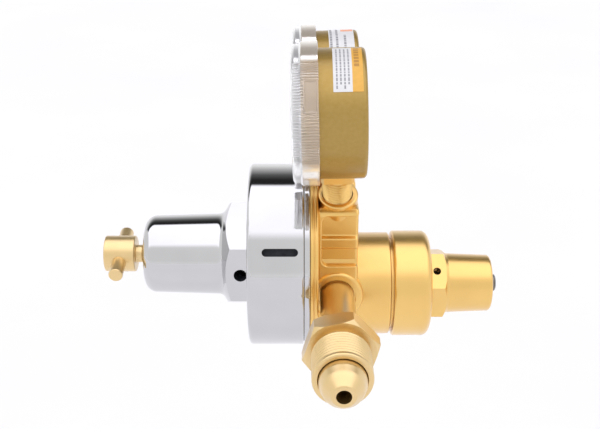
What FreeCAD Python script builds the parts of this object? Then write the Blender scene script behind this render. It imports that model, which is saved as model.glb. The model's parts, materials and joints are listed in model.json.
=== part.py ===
"""Two-stage high-pressure gas regulator with two gauges, built as separate pieces.

Working axes while modelling: X runs along both pressure stages (the knob end is -X, the
preset end is +X), +Z is up, and the inlet points to -Y. X = 0 is the plane through all four
ports; Y = Z = 0 is the axis of the second stage. Every piece is moved at export so that the
origin of the finished part is the middle of the inlet nut's thread.
"""
import FreeCAD, Part
import math
import os

V = FreeCAD.Vector
os.makedirs("parts", exist_ok=True)

# ---------------------------------------------------------------- driving dimensions, mm
RUN = 0.05                    # radial running clearance of screws and of the nut on its stem
GAP = 0.10                    # assembly clearance between pieces of one body

# inlet connection (nut with an outside thread on a bullet-nosed nipple)
INLET_Z = -9.5                # inlet axis below the second-stage axis
NUT_AF = 27.8
NUT_CORNER = 47.5             # corner direction, degrees above the knob side
NUT_HEX_BACK = -62.6
NUT_HEX_FRONT = -71.3
THREAD_END = -89.9
THREAD_R = 12.0
NUT_BORE_R = 9.7
STEM_R = 7.6
SHOULDER_R, SHOULDER_FRONT, SHOULDER_BACK = 9.4, -92.4, -82.0
NOSE_TIP = -100.8
NOSE_END_R = 4.6
NIPPLE_BORE_R = 3.0
NIPPLE_END = -11.4            # the nipple's inner end, inside the port
INLET_FACE = -22.8            # counterbore floor that the nipple screws into
COUNTERBORE_R = 8.4
PORT_BOSS_R, PORT_BOSS_FACE = 11.6, 24.2
PORT_R = 6.75                 # quarter-inch taper thread, as a plain bore
PORT_DEPTH = 13.0

# outlet fitting
OUTLET_AF, OUTLET_BORE_R = 15.9, 2.6
OUTLET_THREAD_R, OUTLET_THREAD_BACK, OUTLET_END = 7.1, 30.7, 42.5

# second stage (knob side)
CAP_R = 41.0
CAP_LEFT, CAP_RIGHT = -38.8, -14.7
BONNET_LEFT = -86.2
BONNET_R_LEFT, BONNET_R_RIGHT = 17.3, 18.35
BONNET_HEX_AF = 44.0
BONNET_HEX_LEFT = -49.4
BONNET_HEX_CORNER_R = BONNET_HEX_AF / math.sqrt(3)
FLARE_LEFT, FLARE_RIGHT = -51.2, -46.6
SPRING_BORE_R = 14.4
BONNET_WALL_X = -80.0         # inside face of the bonnet's end wall
RING_R = 40.1
FLANGE_R = 39.5
FLANGE_LEFT, FLANGE_RIGHT = -12.0, -8.5
SPIGOT_R = 37.0
SPIGOT_LEFT = -26.6
CHAMBER_R = 29.0
CHAMBER_FLOOR = -21.0
DIAPHRAGM_T = 0.4
SLOT_LEFT, SLOT_RIGHT, SLOT_W, SLOT_DEPTH = -32.3, -17.1, 3.3, 3.4
SLOT_ANGLE = 26.6             # first spanner slot, degrees above the inlet side
VENT_R = 2.9
VENT_X = -42.4

# adjusting screw
HEAD_LEFT, HEAD_RIGHT = -104.8, -90.9
HEAD_R = 8.2
NECK_R, NECK_RIGHT = 4.0, -88.1
SCREW_R = 4.75
SCREW_TIP = -72.1
BAR_R, BAR_LEN = 3.175, 36.0
BAR_ANGLE = -7.0              # the bar's inlet-side end hangs this far below level

BUTTON_BACK, BUTTON_FACE = -72.0, -68.6
PLATE_R, PLATE_T = 24.0, 2.2

COIL_SECTIONS = 16            # sections per turn of each spring

# first stage (preset side)
FIRST_Z = -15.0               # first-stage axis below the second-stage axis
BARREL_R, BARREL_RIGHT = 23.35, 24.2
CAP1_LEFT, CAP1_RIGHT, CAP1_R = 25.4, 42.4, 24.15
HEX1_AF, HEX1_RIGHT = 28.9, 49.7
BONNET1_R_LEFT, BONNET1_R_RIGHT, BONNET1_RIGHT = 13.5, 12.85, 71.3
SPRING1_BORE_R = 10.0
BONNET1_WALL_X = 64.5
SPIGOT1_R, SPIGOT1_RIGHT = 20.5, 32.0
CHAMBER1_R, CHAMBER1_FLOOR = 15.0, 27.0
PRESET_R, PRESET_RIGHT = 3.95, 73.7
HEX1_CORNER = 18.5            # corner direction, degrees above the inlet side

# body forging
BLOCK_HALF_X = 8.9
BLOCK_FRONT = 23.1
BLOCK_TOP, BLOCK_DIP = 31.6, 25.0      # shoulders under the gauge bosses, and the dip between
BLOCK_BOTTOM = -20.0
HUB_R = 21.0                  # core of the forging round the valve chambers
BLOCK_EDGE_R = 1.2
POCKET_TOP, POCKET_BOTTOM, POCKET_DEPTH = 28.4, 5.0, 3.3
RIB_TOP, RIB_BOTTOM, RIB_DEPTH = 18.4, 12.2, 1.5     # rib across the pocket, set below its rim
POCKET_LEFT = -7.0                     # the pocket is open towards the first stage
POCKET_CORNER_R, POCKET_FLOOR_R, POCKET_RIM_R = 3.0, 1.2, 0.6
BOSS_R, BOSS_FACE = 8.7, 39.0  # gauge boss radius and its face's distance from the axis
GAUGE_TILT = 22.5             # each gauge leans this far from upright, in a V
GAUGE_LEAN = 1.5              # and its top leans this far towards the knob
PORT_FLOOR = BOSS_FACE - PORT_DEPTH
STEM_END_GAP = 3.0            # clear space between a gauge stem's end and its port's floor

# gauges, in their own frame: centre at 0, face towards -X, stem down
CASE_R, CASE_WALL = 25.85, 0.9
CASE_BACK, CASE_FRONT, CASE_CORNER = 11.2, -12.5, 1.6
COVER_R, COVER_EDGE, COVER_FRONT = 28.3, -7.25, -17.9
STEP_X, STEP_R, WINDOW_T = -14.0, 27.4, 1.4
COVER_PLAY = 0.15             # radial play between the cover's skirt and the case
DIAL_R, DIAL_X, DIAL_T = 24.4, -11.4, 0.5
LABEL_LEFT, LABEL_RIGHT, LABEL_ARC = -1.9, 9.3, 58.0
POINTER_X, POINTER_T, POINTER_LEN = -14.2, 0.5, 18.5
BLOCK_AF = 13.9
STEM_THREAD_R = 6.65
ARBOR_R = 0.6
SECTOR_PIVOT_Z = -9.0
PINION_R = 1.0
POINTER_SWING = 270.0
SECTOR_SWING = 33.75
CENTRE_NEAR, CENTRE_FAR = 84.0, 75.4   # gauge centre to the second-stage axis

ORIGIN = V(0, THREAD_END / 2 + NUT_HEX_FRONT / 2, INLET_Z)
X_AXIS, Y_AXIS, Z_AXIS = V(1, 0, 0), V(0, 1, 0), V(0, 0, 1)


# ---------------------------------------------------------------- shape helpers
def outline(points):
    """Closed wire in the XY plane; a point (a, b, r) has its corner rounded to radius r."""
    pts = [V(p[0], p[1], 0) for p in points]
    radii = [p[2] if len(p) > 2 else 0.0 for p in points]
    ends, arcs = [], []
    for i, p in enumerate(pts):
        if radii[i] == 0.0:
            ends.append((p, p))
            arcs.append(None)
            continue
        to_prev = (pts[i - 1] - p).normalize()
        to_next = (pts[(i + 1) % len(pts)] - p).normalize()
        half = to_prev.getAngle(to_next) / 2
        back = radii[i] / math.tan(half)
        centre = p + (to_prev + to_next).normalize() * (radii[i] / math.sin(half))
        middle = centre + (p - centre).normalize() * radii[i]
        a, b = p + to_prev * back, p + to_next * back
        ends.append((a, b))
        arcs.append(Part.Arc(a, middle, b))
    edges = []
    for i in range(len(pts)):
        if arcs[i] is not None:
            edges.append(arcs[i].toShape())
        a, b = ends[i][1], ends[(i + 1) % len(pts)][0]
        if a.distanceToPoint(b) > 1e-6:
            edges.append(Part.LineSegment(a, b).toShape())
    return Part.Wire(edges)


def turned(points, z=0.0, y=0.0):
    """Solid of revolution about a line parallel to X; points are (x, radius[, corner])."""
    solid = Part.Face(outline(points)).revolve(V(0, 0, 0), X_AXIS, 360)
    return solid.translated(V(0, y, z))


def rod(x0, x1, radius, y=0.0, z=0.0):
    """Cylinder along X from x0 to x1."""
    return Part.makeCylinder(radius, x1 - x0, V(x0, y, z), X_AXIS)


def tube(x0, x1, outer, inner, z=0.0):
    """Plain ring along X."""
    return rod(x0, x1, outer, z=z).cut(rod(x0 - 1, x1 + 1, inner, z=z))


def rod_between(a, b, radius):
    """Cylinder from point a to point b."""
    return Part.makeCylinder(radius, (b - a).Length, a, b - a)


def direction(angle):
    """Unit vector in the YZ plane, in degrees above the inlet side (-Y)."""
    t = math.radians(angle)
    return V(0, -math.cos(t), math.sin(t))


def hex_bar(x0, x1, across_flats, corner_angle, z=0.0):
    """Hexagonal bar along X with one corner at corner_angle above -Y."""
    r = across_flats / math.sqrt(3)
    pts = [V(x0, 0, z) + direction(corner_angle + 60 * k) * r for k in range(7)]
    return Part.Face(Part.makePolygon(pts)).extrude(V(x1 - x0, 0, 0))


def chamfered_hex(x0, x1, across_flats, corner_angle, z=0.0, both=False):
    """Hexagonal bar whose corners are turned down at the x0 end (and at x1)."""
    r = across_flats / math.sqrt(3) + 0.05
    drop = 0.55 * (r - 0.5 * across_flats) + 0.3
    end = r - (drop if both else 0.0)
    form = [(x0, 0), (x0, r - drop - 0.25), (x0 + drop, r), (x1 - (drop if both else 0), r),
            (x1, end - (0.25 if both else 0)), (x1, 0)]
    return hex_bar(x0, x1, across_flats, corner_angle, z).common(turned(form, z))


def coil(x0, x1, mean_r, wire_r, turns, z=0.0):
    """Compression spring about a line parallel to X, lofted through round sections."""
    rise = x1 - x0 - 2 * wire_r
    count = round(turns * COIL_SECTIONS)
    sections = []
    for k in range(count + 1):
        section = Part.makeCircle(wire_r, V(0, mean_r, 0), Z_AXIS)
        section.rotate(V(0, 0, 0), X_AXIS, 360.0 * k / COIL_SECTIONS)
        section.translate(V(x0 + wire_r + rise * k / count, 0, z))
        sections.append(Part.Wire([section]))
    return Part.makeLoft(sections, True, True)


def union(first, *others):
    shape = first.fuse(list(others))
    return shape.removeSplitter()


def one_solid(shape):
    """The single solid inside a boolean result."""
    solids = shape.Solids
    return max(solids, key=lambda s: s.Volume)


def export(name, shape):
    moved = shape.copy()
    moved.translate(ORIGIN * -1)
    moved.exportStep("parts/%s.step" % name)


# ---------------------------------------------------------------- body forging
def gauge_axis(side):
    """Unit vector from the second-stage axis to a gauge; side -1 is the inlet side."""
    t = math.radians(GAUGE_TILT)
    return V(0, side * math.sin(t), math.cos(t))


def edges_where(shape, test):
    """Edges of a shape whose middle point passes the test."""
    found = []
    for edge in shape.Edges:
        middle = edge.valueAt((edge.FirstParameter + edge.LastParameter) / 2)
        if test(middle):
            found.append(edge)
    return found


def forging_block():
    """Block that joins the port bosses, with soft edges and rounded casting pockets."""
    profile = [(-BLOCK_FRONT, BLOCK_BOTTOM), (-BLOCK_FRONT, BLOCK_TOP, 3), (-9, BLOCK_TOP, 2),
               (-6, BLOCK_DIP, 3), (6, BLOCK_DIP, 3), (9, BLOCK_TOP, 2),
               (BLOCK_FRONT, BLOCK_TOP, 3), (BLOCK_FRONT, BLOCK_BOTTOM)]
    block = Part.Face(outline(profile)).extrude(V(0, 0, 2 * BLOCK_HALF_X))
    block.rotate(V(0, 0, 0), V(1, 1, 1), 120)
    block = block.translated(V(-BLOCK_HALF_X, 0, 0))
    block = block.cut([pocket(-1), pocket(1)])
    rims = edges_where(block, lambda p: abs(abs(p.y) - BLOCK_FRONT) < 0.01
                       and abs(p.x) < BLOCK_HALF_X - 0.1 and 0 < p.z < BLOCK_TOP - 1)
    block = block.makeFillet(POCKET_RIM_R, rims)
    ends = edges_where(block, lambda p: abs(abs(p.x) - BLOCK_HALF_X) < 0.01
                       and p.z > BLOCK_BOTTOM + 0.1)
    return block.makeFillet(BLOCK_EDGE_R, ends)


def pocket(side):
    """Cutter for the casting pocket in the block's inlet or outlet side, with a rib across."""
    r, right = POCKET_CORNER_R, BLOCK_HALF_X + 3
    low, high, mouth = POCKET_BOTTOM, POCKET_TOP, BLOCK_FRONT + 5
    floor, rib, soft = BLOCK_FRONT - POCKET_DEPTH, BLOCK_FRONT - RIB_DEPTH, POCKET_FLOOR_R
    section = Part.Face(outline([(mouth, low), (floor, low, soft), (floor, RIB_BOTTOM, 0.8),
                                 (rib, RIB_BOTTOM + 1, 0.8), (rib, RIB_TOP - 1, 0.8),
                                 (floor, RIB_TOP, 0.8), (floor, high, soft), (mouth, high)]))
    groove = section.extrude(V(0, 0, right - POCKET_LEFT))
    groove.rotate(V(0, 0, 0), V(1, 1, 1), 120)
    groove = groove.translated(V(POCKET_LEFT, 0, 0))
    if side < 0:
        groove = groove.mirror(V(0, 0, 0), Y_AXIS)
    face = Part.Face(outline([(POCKET_LEFT, low, r), (right, low), (right, high),
                              (POCKET_LEFT, high, r)]))
    face.rotate(V(0, 0, 0), X_AXIS, 90)
    column = face.translated(V(0, side * 10, 0)).extrude(V(0, side * 30, 0))
    return groove.common(column)


def gauge_boss(side):
    axis = gauge_axis(side)
    boss = Part.makeCylinder(BOSS_R, BOSS_FACE - 8, axis * 8, axis)
    rim = [e for e in boss.Edges if abs(e.CenterOfMass.dot(axis) - BOSS_FACE) < 0.1]
    return boss.makeFillet(0.8, rim)


def port_boss(side):
    """Round boss for the inlet or outlet port, with a soft outer edge."""
    root = V(0, side * 8, INLET_Z)
    boss = Part.makeCylinder(PORT_BOSS_R, PORT_BOSS_FACE - 8, root, V(0, side, 0))
    rim = edges_where(boss, lambda p: abs(abs(p.y) - PORT_BOSS_FACE) < 0.01)
    return boss.makeFillet(1.5, rim)


def side_port(side):
    """Cutter for the inlet or outlet port: counterbore and threaded bore."""
    out = V(0, side, 0)
    face = V(0, side * abs(INLET_FACE), INLET_Z)
    counterbore = Part.makeCylinder(COUNTERBORE_R, 12, face, out)
    bore = Part.makeCylinder(PORT_R, PORT_DEPTH, face - out * PORT_DEPTH, out)
    return counterbore.fuse(bore)


def gas_passages():
    """Drilled ways between the ports, the two valve chambers and the diaphragm chambers."""
    inlet = rod_between(V(0, INLET_FACE + PORT_DEPTH - 1, INLET_Z), V(0, 1, INLET_Z), 2.4)
    near = rod_between(V(0, -11, 24), V(0, -11, INLET_Z), 1.5)
    far = rod_between(V(0, 10, 24), V(0, 9, 19), 1.5)
    far_across = rod(CHAMBER_FLOOR - 1, 1.5, 1.5, y=9, z=20)
    outlet = rod(CHAMBER_FLOOR - 1, 0, 2.4, y=15, z=INLET_Z)
    between = rod(0, CHAMBER1_FLOOR + 1, 1.3, y=4, z=-4)
    return [inlet, near, far, far_across, outlet, between]


def make_body():
    barrel = rod(FLANGE_RIGHT - 1, BARREL_RIGHT, BARREL_R, z=FIRST_Z)
    edge = [e for e in barrel.Edges if abs(e.CenterOfMass.x - BARREL_RIGHT) < 0.01]
    barrel = barrel.makeFillet(0.9, edge)
    flange = turned([(SPIGOT_LEFT, 0), (SPIGOT_LEFT, SPIGOT_R), (FLANGE_LEFT, SPIGOT_R),
                     (FLANGE_LEFT, FLANGE_R, 0.5), (FLANGE_LEFT + 1.5, FLANGE_R, 0.3),
                     (FLANGE_LEFT + 1.6, FLANGE_R - 0.5), (FLANGE_LEFT + 1.9, FLANGE_R - 0.5),
                     (FLANGE_LEFT + 2.0, FLANGE_R, 0.3), (FLANGE_RIGHT, FLANGE_R, 0.8),
                     (FLANGE_RIGHT, 0)])
    hub = rod(FLANGE_RIGHT - 1, BLOCK_HALF_X - 0.6, HUB_R)
    spigot1 = rod(BARREL_RIGHT - 1, SPIGOT1_RIGHT, SPIGOT1_R, z=FIRST_Z)
    lower = Part.makeBox(9.6, 20, 14, V(FLANGE_RIGHT - 1, -10, -34))
    body = union(barrel, forging_block(), flange, hub, gauge_boss(-1), gauge_boss(1),
                 port_boss(-1), port_boss(1), spigot1, lower)
    cuts = []
    for side in (-1, 1):
        cuts.append(side_port(side))
        axis = gauge_axis(side)
        cuts.append(place_gauge(Part.makeCylinder(PORT_R, PORT_DEPTH + 2, V(0, 0, 0), Z_AXIS),
                                side, PORT_FLOOR))
        cuts.append(rod_between(axis * (PORT_FLOOR - 4), axis * (PORT_FLOOR + 1), 2.0))
    cuts.append(rod(SPIGOT_LEFT - 1, CHAMBER_FLOOR, CHAMBER_R))
    cuts.append(rod(CHAMBER_FLOOR - 1, -8, 6.6))
    cuts.append(rod(-9, 4, 7.0))
    cuts.append(rod(CHAMBER1_FLOOR, SPIGOT1_RIGHT + 1, CHAMBER1_R, z=FIRST_Z))
    cuts.append(rod(13.0, CHAMBER1_FLOOR + 1, 5.1, z=FIRST_Z))
    cuts.append(rod(-3, 14, 5.5, z=FIRST_Z))
    cuts += gas_passages()
    return one_solid(body.cut(cuts))


# ---------------------------------------------------------------- second stage
def make_bonnet():
    flare = turned([(BONNET_LEFT, 0), (BONNET_LEFT, BONNET_R_LEFT, 5.0),
                    (FLARE_LEFT, BONNET_R_RIGHT, 3.5), (FLARE_RIGHT, BONNET_HEX_CORNER_R + 0.2),
                    (CAP_LEFT + 1, BONNET_HEX_CORNER_R + 0.2), (CAP_LEFT + 1, 0)])
    grip = union(rod(BONNET_LEFT - 1, BONNET_HEX_LEFT, 30),
                 hex_bar(BONNET_HEX_LEFT - 0.5, CAP_LEFT + 1, BONNET_HEX_AF, 30))
    cap = turned([(CAP_LEFT, 0), (CAP_LEFT, CAP_R, 1.8), (CAP_RIGHT, CAP_R, 0.6), (CAP_RIGHT, 0)])
    solid = union(flare.common(grip), cap)
    inside = turned([(BONNET_LEFT - 1, 0), (BONNET_LEFT - 1, SCREW_R + RUN),
                     (BONNET_WALL_X, SCREW_R + RUN), (BONNET_WALL_X, SPRING_BORE_R),
                     (-44, SPRING_BORE_R), (-31.2, 28.5), (-29.0, 29.5), (-29.0, SPIGOT_R + 0.2),
                     (CAP_RIGHT + 1, SPIGOT_R + 0.2), (CAP_RIGHT + 1, 0)])
    cuts = [inside]
    for k in range(3):
        cuts.append(spanner_slot(SLOT_ANGLE + 120 * k))
    for angle in (0, 180):
        out = direction(angle)
        cuts.append(rod_between(V(VENT_X, 0, 0) + out * 12, V(VENT_X, 0, 0) + out * 30, VENT_R))
    return one_solid(solid.cut(cuts))


def spanner_slot(angle):
    """Round-ended slot in the bonnet's skirt, along X, for a hook spanner."""
    out = direction(angle)
    across = V(0, out.z, -out.y)
    half = SLOT_W / 2
    x0, x1 = SLOT_LEFT + half, SLOT_RIGHT - half
    root = out * (CAP_R - SLOT_DEPTH)
    box = Part.Face(Part.makePolygon([
        V(x0, 0, 0) + across * half + root, V(x1, 0, 0) + across * half + root,
        V(x1, 0, 0) - across * half + root, V(x0, 0, 0) - across * half + root,
        V(x0, 0, 0) + across * half + root])).extrude(out * 8)
    ends = [Part.makeCylinder(half, 8, V(x, 0, 0) + root, out) for x in (x0, x1)]
    return union(box, *ends)


def make_bonnet_ring():
    return turned([(CAP_RIGHT + GAP, SPIGOT_R + 0.3), (CAP_RIGHT + GAP, RING_R, 0.5),
                   (FLANGE_LEFT - GAP, RING_R, 0.5), (FLANGE_LEFT - GAP, SPIGOT_R + 0.3)])


def make_diaphragm():
    return rod(SPIGOT_LEFT - DIAPHRAGM_T, SPIGOT_LEFT, SPIGOT_R - 0.4)


def make_slip_ring():
    return tube(-28.9, SPIGOT_LEFT - DIAPHRAGM_T, SPIGOT_R - 0.4, CHAMBER_R)


def make_diaphragm_plate():
    """Backing plate with the spring's locating boss; its face lies 0.7 mm off the disc."""
    face = SPIGOT_LEFT - DIAPHRAGM_T - 0.7
    back, boss_end = face - PLATE_T, face - 5.6
    return turned([(boss_end, 0), (boss_end, 8.6, 0.6), (back, 9.0), (back, PLATE_R, 0.5),
                   (face, PLATE_R, 0.5), (face, 0)])


def make_range_spring():
    """Large spring that sets the delivery pressure."""
    plate_step = SPIGOT_LEFT - DIAPHRAGM_T - 2.9
    return coil(BUTTON_FACE + 0.2, plate_step - 0.2, 11.2, 1.75, 7)


def make_spring_button():
    """Upper spring seat, pushed by the adjusting screw's tip."""
    pilot_end = BUTTON_FACE + 2.4
    return turned([(BUTTON_BACK, 0), (BUTTON_BACK, SPRING_BORE_R - 0.8, 0.8),
                   (BUTTON_FACE, SPRING_BORE_R - 0.8, 0.4), (BUTTON_FACE, 8.8), (pilot_end, 8.4, 0.5),
                   (pilot_end, 0)])


def make_adjusting_screw():
    screw = turned([(HEAD_LEFT, 0), (HEAD_LEFT, HEAD_R, 0.7), (HEAD_RIGHT, HEAD_R, 0.7),
                    (HEAD_RIGHT, NECK_R, 0.5), (NECK_RIGHT, NECK_R), (NECK_RIGHT + 0.5, SCREW_R),
                    (SCREW_TIP - 1.2, SCREW_R), (SCREW_TIP, 3.2), (SCREW_TIP, 0)])
    x = (HEAD_LEFT + HEAD_RIGHT) / 2
    axis = direction(BAR_ANGLE)
    hole = rod_between(V(x, 0, 0) - axis * 20, V(x, 0, 0) + axis * 20, BAR_R + 0.02)
    return one_solid(screw.cut(hole))


def make_t_bar():
    half = BAR_LEN / 2
    bar = turned([(-half, 0), (-half, BAR_R, 0.7), (half, BAR_R, 0.7), (half, 0)])
    bar.rotate(V(0, 0, 0), Z_AXIS, 90)
    bar.rotate(V(0, 0, 0), X_AXIS, -BAR_ANGLE)
    return bar.translated(V((HEAD_LEFT + HEAD_RIGHT) / 2, 0, 0))


def make_nozzle():
    return turned([(-20.9, 2.2), (-20.9, 6.5, 0.4), (-8.1, 6.5), (-8.1, 3.2), (-9.4, 2.2)])


def make_poppet():
    """Valve with a conical face; its pin reaches through the nozzle to the diaphragm."""
    return turned([(-26.3, 0), (-26.3, 1.3, 0.3), (-8.0, 1.3), (-7.4, 1.6), (-5.0, 4.2),
                   (-2.0, 4.2), (-2.0, 2.4), (1.2, 2.4, 0.3), (1.2, 0)])


def make_poppet_spring():
    return coil(-1.9, 3.9, 3.6, 0.4, 4)


# ---------------------------------------------------------------- first stage
def make_first_cap():
    """One brass turning: skirt, hexagon and tapered spring housing."""
    skirt = turned([(CAP1_LEFT, 0), (CAP1_LEFT, CAP1_R, 1.1), (CAP1_RIGHT, CAP1_R, 3.6),
                    (CAP1_RIGHT, 0)], FIRST_Z)
    corner_r = HEX1_AF / math.sqrt(3) + 0.5
    form = turned([(CAP1_RIGHT - 1, 0), (CAP1_RIGHT - 1, corner_r), (HEX1_RIGHT - 1.4, corner_r),
                   (HEX1_RIGHT, HEX1_AF / 2 + 0.5), (HEX1_RIGHT, 0)], FIRST_Z)
    hexagon = hex_bar(CAP1_RIGHT - 1, HEX1_RIGHT, HEX1_AF, HEX1_CORNER, FIRST_Z).common(form)
    nose = turned([(HEX1_RIGHT - 1, 0), (HEX1_RIGHT - 1, 14.2), (HEX1_RIGHT, 14.2), (51.0, 13.6),
                   (BONNET1_RIGHT - 0.5, BONNET1_R_RIGHT, 1.4), (BONNET1_RIGHT, 6.5),
                   (BONNET1_RIGHT, 0)], FIRST_Z)
    inside = turned([(CAP1_LEFT - 1, 0), (CAP1_LEFT - 1, SPIGOT1_R + 0.2), (34.1, SPIGOT1_R + 0.2),
                     (34.1, 15.4), (36.4, 15.4), (42, SPRING1_BORE_R),
                     (BONNET1_WALL_X, SPRING1_BORE_R), (BONNET1_WALL_X, PRESET_R + RUN),
                     (BONNET1_RIGHT + 1, PRESET_R + RUN), (BONNET1_RIGHT + 1, 0)], FIRST_Z)
    vents = []
    for k in (0, 3):
        out = direction(HEX1_CORNER + 30 + 60 * k)
        centre = V((CAP1_RIGHT + HEX1_RIGHT) / 2 - 0.6, 0, FIRST_Z)
        vents.append(rod_between(centre + out * 8, centre + out * 20, 1.75))
    return one_solid(union(skirt, hexagon, nose).cut([inside] + vents))


def make_first_diaphragm():
    return rod(SPIGOT1_RIGHT, SPIGOT1_RIGHT + DIAPHRAGM_T, SPIGOT1_R - 0.3, z=FIRST_Z)


def make_first_slip_ring():
    return tube(SPIGOT1_RIGHT + DIAPHRAGM_T, 34.0, SPIGOT1_R - 0.3, CHAMBER1_R, z=FIRST_Z)


def make_first_plate():
    face = SPIGOT1_RIGHT + DIAPHRAGM_T + 0.5
    return turned([(face, 0), (face, 13.2, 0.4), (face + 1.8, 13.2, 0.4), (face + 1.8, 5.4),
                   (face + 4.0, 5.0, 0.4), (face + 4.0, 0)], FIRST_Z)


def make_first_spring():
    return coil(34.9, 55.9, 7.2, 1.3, 6, FIRST_Z)


def make_first_button():
    return turned([(53.8, 0), (53.8, 4.9, 0.4), (56.1, 5.3), (56.1, 9.4, 0.4), (58.8, 9.4, 0.6),
                   (58.8, 0)], FIRST_Z)


def make_preset_screw():
    screw = turned([(58.9, 0), (58.9, 2.6), (60.1, PRESET_R), (PRESET_RIGHT - 0.6, PRESET_R),
                    (PRESET_RIGHT, PRESET_R - 0.6), (PRESET_RIGHT, 0)], FIRST_Z)
    socket = hex_bar(PRESET_RIGHT - 3.6, PRESET_RIGHT + 1, 4.0, 30, FIRST_Z)
    return one_solid(screw.cut(socket))


def make_first_nozzle():
    return turned([(12.9, 2.4), (14.2, 1.7), (26.9, 1.7), (26.9, 5.0, 0.4), (12.9, 5.0)], FIRST_Z)


def make_first_poppet():
    return turned([(31.7, 0), (31.7, 1.0, 0.3), (12.8, 1.0), (12.3, 1.2), (10.6, 3.4), (8.0, 3.4),
                   (8.0, 1.9), (5.4, 1.9, 0.3), (5.4, 0)], FIRST_Z)


def make_first_poppet_spring():
    return coil(-2.9, 7.9, 2.9, 0.4, 6, FIRST_Z)


# ---------------------------------------------------------------- inlet and outlet
def turned_y(points, z):
    """Solid of revolution about a line parallel to Y; points are (y, radius[, corner])."""
    solid = turned(points)
    solid.rotate(V(0, 0, 0), Z_AXIS, 90)
    return solid.translated(V(0, 0, z))


def make_nipple():
    """Stem, shoulder and bullet nose with the gas bore and a pocket for the filter."""
    stop = INLET_FACE - 0.3
    body = turned_y([(NOSE_TIP, 0), (NOSE_TIP, NOSE_END_R, 1.2), (NOSE_TIP + 4.2, 8.1, 6.0),
                     (SHOULDER_FRONT, SHOULDER_R, 1.5), (SHOULDER_BACK, SHOULDER_R, 0.6),
                     (SHOULDER_BACK + 1.6, STEM_R), (stop, STEM_R), (stop, PORT_R - GAP),
                     (NIPPLE_END, PORT_R - 0.6), (NIPPLE_END, 0)], INLET_Z)
    bore = Part.makeCylinder(NIPPLE_BORE_R, 120, V(0, NOSE_TIP - 5, INLET_Z), Y_AXIS)
    pocket_bore = Part.makeCylinder(4.6, 14, V(0, -22, INLET_Z), Y_AXIS)
    return one_solid(body.cut([bore, pocket_bore]))


def make_inlet_filter():
    """Sintered bronze cup filter in the stem's body end."""
    return turned_y([(-21.9, 0), (-21.9, 4.4, 0.6), (-11.0, 4.4), (-11.0, 3.1), (-19.6, 3.1, 0.4),
                     (-19.6, 0)], INLET_Z)


def make_inlet_nut():
    hexagon = chamfered_hex(-NUT_HEX_BACK, -NUT_HEX_FRONT, NUT_AF, NUT_CORNER, both=True)
    hexagon.rotate(V(0, 0, 0), Z_AXIS, -90)
    hexagon.translate(V(0, 0, INLET_Z))
    relief_r, mouth_r = THREAD_R - 1.0, NUT_BORE_R + 0.2
    thread = turned_y([(THREAD_END, 0), (THREAD_END, THREAD_R, 1.0), (NUT_HEX_FRONT - 2.2, THREAD_R),
                       (NUT_HEX_FRONT - 1.6, relief_r), (NUT_HEX_FRONT + 1, relief_r),
                       (NUT_HEX_FRONT + 1, 0)], INLET_Z)
    seat = SHOULDER_BACK + 1.0
    bore = turned_y([(THREAD_END - 1, 0), (THREAD_END - 1, mouth_r), (THREAD_END, mouth_r),
                     (THREAD_END + 0.2, NUT_BORE_R), (seat, NUT_BORE_R), (seat + 1.6, STEM_R + RUN),
                     (NUT_HEX_BACK + 1, STEM_R + RUN), (NUT_HEX_BACK + 1, 0)], INLET_Z)
    return one_solid(union(hexagon, thread).cut(bore))


def make_outlet_fitting():
    """Hose adapter: hexagon and outside thread with a coned seat."""
    inner_end = -INLET_FACE - PORT_DEPTH + 2
    hex_back, hex_front = PORT_BOSS_FACE + 0.3, OUTLET_THREAD_BACK - 1.1
    hexagon = chamfered_hex(hex_back, hex_front, OUTLET_AF, 90, both=True)
    hexagon.rotate(V(0, 0, 0), Z_AXIS, 90)
    hexagon.translate(V(0, 0, INLET_Z))
    neck_r = OUTLET_THREAD_R - 0.9
    shank = turned_y([(inner_end, 0), (inner_end, PORT_R - 0.6), (-INLET_FACE, PORT_R - GAP),
                      (hex_back + 1, PORT_R - GAP), (hex_back + 1, neck_r),
                      (OUTLET_THREAD_BACK - 0.6, neck_r), (OUTLET_THREAD_BACK, OUTLET_THREAD_R),
                      (OUTLET_END, OUTLET_THREAD_R, 0.8), (OUTLET_END, 0)], INLET_Z)
    bore = turned_y([(0, 0), (0, OUTLET_BORE_R), (OUTLET_END - 5, OUTLET_BORE_R),
                     (OUTLET_END + 1, OUTLET_BORE_R + 3), (OUTLET_END + 1, 0)], INLET_Z)
    return one_solid(union(hexagon, shank).cut(bore))


# ---------------------------------------------------------------- gauges
def place_gauge(shape, side, height):
    """Move a shape from gauge axes to its port: the origin lands at height on the port axis."""
    moved = shape.copy()
    moved.translate(V(0, 0, height - PORT_FLOOR))
    moved.rotate(V(0, 0, 0), Y_AXIS, -GAUGE_LEAN)
    moved.translate(V(0, 0, PORT_FLOOR))
    moved.rotate(V(0, 0, 0), X_AXIS, -side * GAUGE_TILT)
    return moved


def gauge_case():
    """Drawn cup, open at the dial, with a square hole for the socket's neck."""
    inner_r, inner_back = CASE_R - CASE_WALL, CASE_BACK - CASE_WALL
    shell = turned([(CASE_FRONT, inner_r), (CASE_FRONT, CASE_R), (CASE_BACK, CASE_R, CASE_CORNER),
                    (CASE_BACK, 0), (inner_back, 0), (inner_back, inner_r, CASE_CORNER - CASE_WALL)])
    neck = Part.makeBox(10.2, 10.2, 12, V(-5.1, -5.1, -CASE_R - 6))
    return one_solid(shell.cut(neck))


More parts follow.
